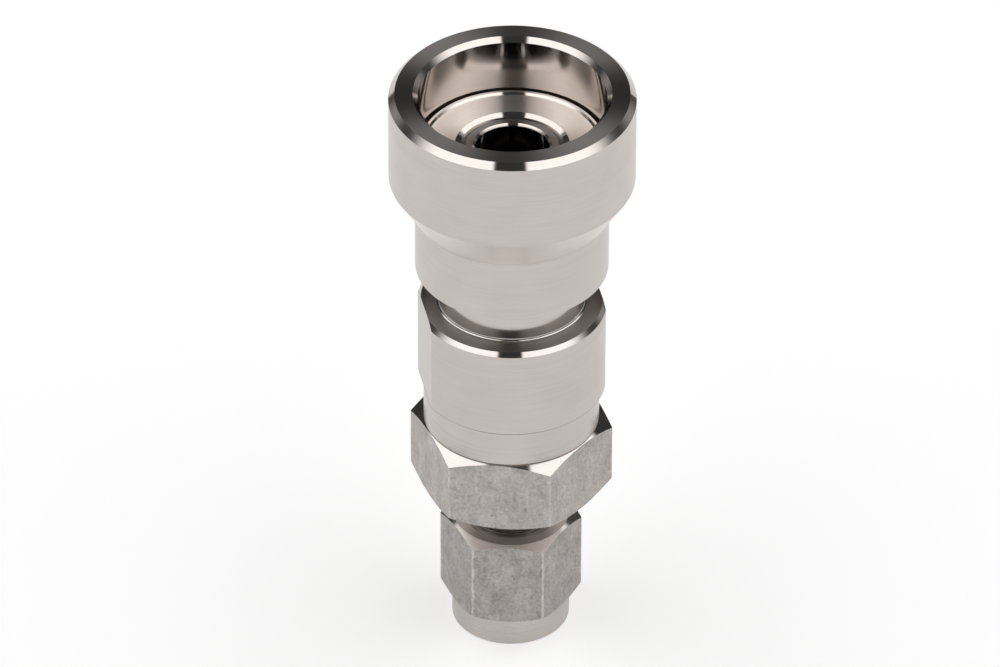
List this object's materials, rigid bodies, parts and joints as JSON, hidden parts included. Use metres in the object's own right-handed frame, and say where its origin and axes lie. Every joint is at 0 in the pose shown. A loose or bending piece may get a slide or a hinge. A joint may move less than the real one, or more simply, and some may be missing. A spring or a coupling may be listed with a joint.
{
  "type": "quick connect coupling",
  "caption": "Female quick connect coupling: spring-loaded locking sleeve with an open cup over a ball lock, round housing with wrench flats, hex adapter and a compression nut for tube.",
  "frame": {"origin": "on the coupling's axis, at the foot of the tube nut's tail", "axes": "+Z along the axis towards the open cup; +X to the right and +Y away from the viewer of the picture"},
  "size_m": [0.0276, 0.0276, 0.0727],
  "materials": {
    "sleeve_steel": "fine turned satin",
    "nose_steel": "bright turned",
    "housing_steel": "fine turned satin",
    "adapter_steel": "cold drawn hex with turned collar",
    "nut_steel": "cold drawn hex, matte",
    "ball_steel": "polished",
    "spring_steel": "drawn wire",
    "poppet_steel": "turned",
    "ferrule_steel": "turned",
    "black_rubber": "matte",
    "white_plastic": "matte"
  },
  "bodies": {
    "main_body": {"coupling_body": "housing_steel", "nose_ring": "nose_steel", "seat_snap_ring": "spring_steel", "spring_seat": "spring_steel", "sleeve_spring": "spring_steel", "stem_o_ring": "black_rubber", "backup_ring": "white_plastic", "poppet_guide": "poppet_steel", "poppet_spring": "spring_steel", "end_adapter": "adapter_steel", "adapter_o_ring": "black_rubber"},
    "sleeve": {"locking_sleeve": "sleeve_steel"},
    "poppet_body": {"poppet": "poppet_steel", "poppet_o_ring": "black_rubber"},
    "ferrule_pair": {"front_ferrule": "ferrule_steel", "back_ferrule": "ferrule_steel"},
    "nut": {"tube_nut": "nut_steel"},
    "ball_1": {"locking_ball_1": "ball_steel"},
    "ball_2": {"locking_ball_2": "ball_steel"},
    "ball_3": {"locking_ball_3": "ball_steel"},
    "ball_4": {"locking_ball_4": "ball_steel"},
    "ball_5": {"locking_ball_5": "ball_steel"},
    "ball_6": {"locking_ball_6": "ball_steel"}
  },
  "joints": [
    {"name": "sleeve_slide", "type": "slide", "parent": "main_body", "child": "sleeve", "axis": [0, 0, -1], "range_m": [0, 0.0049], "stiffness_N_per_m": 750, "springref_m": -0.007, "deforming": ["sleeve_spring"]},
    {"name": "poppet_slide", "type": "slide", "parent": "main_body", "child": "poppet_body", "axis": [0, 0, -1], "range_m": [0, 0.0035], "stiffness_N_per_m": 350, "springref_m": -0.006, "deforming": ["poppet_spring"]},
    {"name": "ferrule_advance", "type": "slide", "parent": "main_body", "child": "ferrule_pair", "axis": [0, 0, 1], "range_m": [0, 0.0016]},
    {"name": "nut_turn", "type": "hinge", "parent": "ferrule_pair", "child": "nut", "pos_m": [0, 0, 0], "axis": [0, 0, 1], "range_deg": [0, 450]},
    {"name": "ball_1_slide", "type": "slide", "parent": "main_body", "child": "ball_1", "axis": [1, 0, 0], "range_m": [0, 0.00094]},
    {"name": "ball_2_slide", "type": "slide", "parent": "main_body", "child": "ball_2", "axis": [0.5, 0.866, 0], "range_m": [0, 0.00094]},
    {"name": "ball_3_slide", "type": "slide", "parent": "main_body", "child": "ball_3", "axis": [-0.5, 0.866, 0], "range_m": [0, 0.00094]},
    {"name": "ball_4_slide", "type": "slide", "parent": "main_body", "child": "ball_4", "axis": [-1, 0, 0], "range_m": [0, 0.00094]},
    {"name": "ball_5_slide", "type": "slide", "parent": "main_body", "child": "ball_5", "axis": [-0.5, -0.866, 0], "range_m": [0, 0.00094]},
    {"name": "ball_6_slide", "type": "slide", "parent": "main_body", "child": "ball_6", "axis": [0.5, -0.866, 0], "range_m": [0, 0.00094]}
  ],
  "couplings": [
    {"joint": "ferrule_advance", "follows": "nut_turn", "m_per_rad": 0.00020213},
    {"joint": "ball_1_slide", "follows": "sleeve_slide", "ratio": 0.19},
    {"joint": "ball_2_slide", "follows": "sleeve_slide", "ratio": 0.19},
    {"joint": "ball_3_slide", "follows": "sleeve_slide", "ratio": 0.19},
    {"joint": "ball_4_slide", "follows": "sleeve_slide", "ratio": 0.19},
    {"joint": "ball_5_slide", "follows": "sleeve_slide", "ratio": 0.19},
    {"joint": "ball_6_slide", "follows": "sleeve_slide", "ratio": 0.19}
  ]
}
